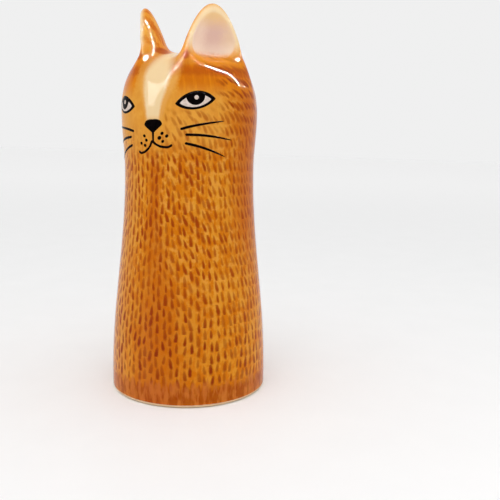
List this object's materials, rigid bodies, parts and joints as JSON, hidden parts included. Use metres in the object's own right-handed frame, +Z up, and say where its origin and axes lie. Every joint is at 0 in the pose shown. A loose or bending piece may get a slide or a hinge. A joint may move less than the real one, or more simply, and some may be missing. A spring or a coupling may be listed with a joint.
{
  "type": "cat figurine",
  "caption": "Free-standing ceramic cat figurine: a hollow tapered column with a domed head, cupped pointed ears and a painted face; it stands on a flat foot.",
  "frame": {"origin": "centre of the foot, on the surface that the figurine stands on", "axes": "+Z up to the ears, -Y the way the cat looks, +X the cat's left side"},
  "size_m": [0.0672, 0.0672, 0.16],
  "materials": {
    "amber_glaze": "gloss",
    "bare_clay": "matte",
    "black_enamel": "gloss",
    "white_enamel": "gloss"
  },
  "bodies": {
    "root": {"body_shell": "amber_glaze", "base_plate": "bare_clay", "left_ear": "amber_glaze", "right_ear": "amber_glaze", "nose": "black_enamel", "philtrum_line": "black_enamel", "mouth_line": "black_enamel", "left_eye_line": "black_enamel", "left_eye_white": "white_enamel", "left_iris": "black_enamel", "left_glint": "white_enamel", "left_whisker_1": "black_enamel", "left_whisker_2": "black_enamel", "left_whisker_3": "black_enamel", "left_whisker_dot_1": "black_enamel", "left_whisker_dot_2": "black_enamel", "left_whisker_dot_3": "black_enamel", "left_whisker_dot_4": "black_enamel", "right_eye_line": "black_enamel", "right_eye_white": "white_enamel", "right_iris": "black_enamel", "right_glint": "white_enamel", "right_whisker_1": "black_enamel", "right_whisker_2": "black_enamel", "right_whisker_3": "black_enamel", "right_whisker_dot_1": "black_enamel", "right_whisker_dot_2": "black_enamel", "right_whisker_dot_3": "black_enamel", "right_whisker_dot_4": "black_enamel"}
  },
  "joints": []
}
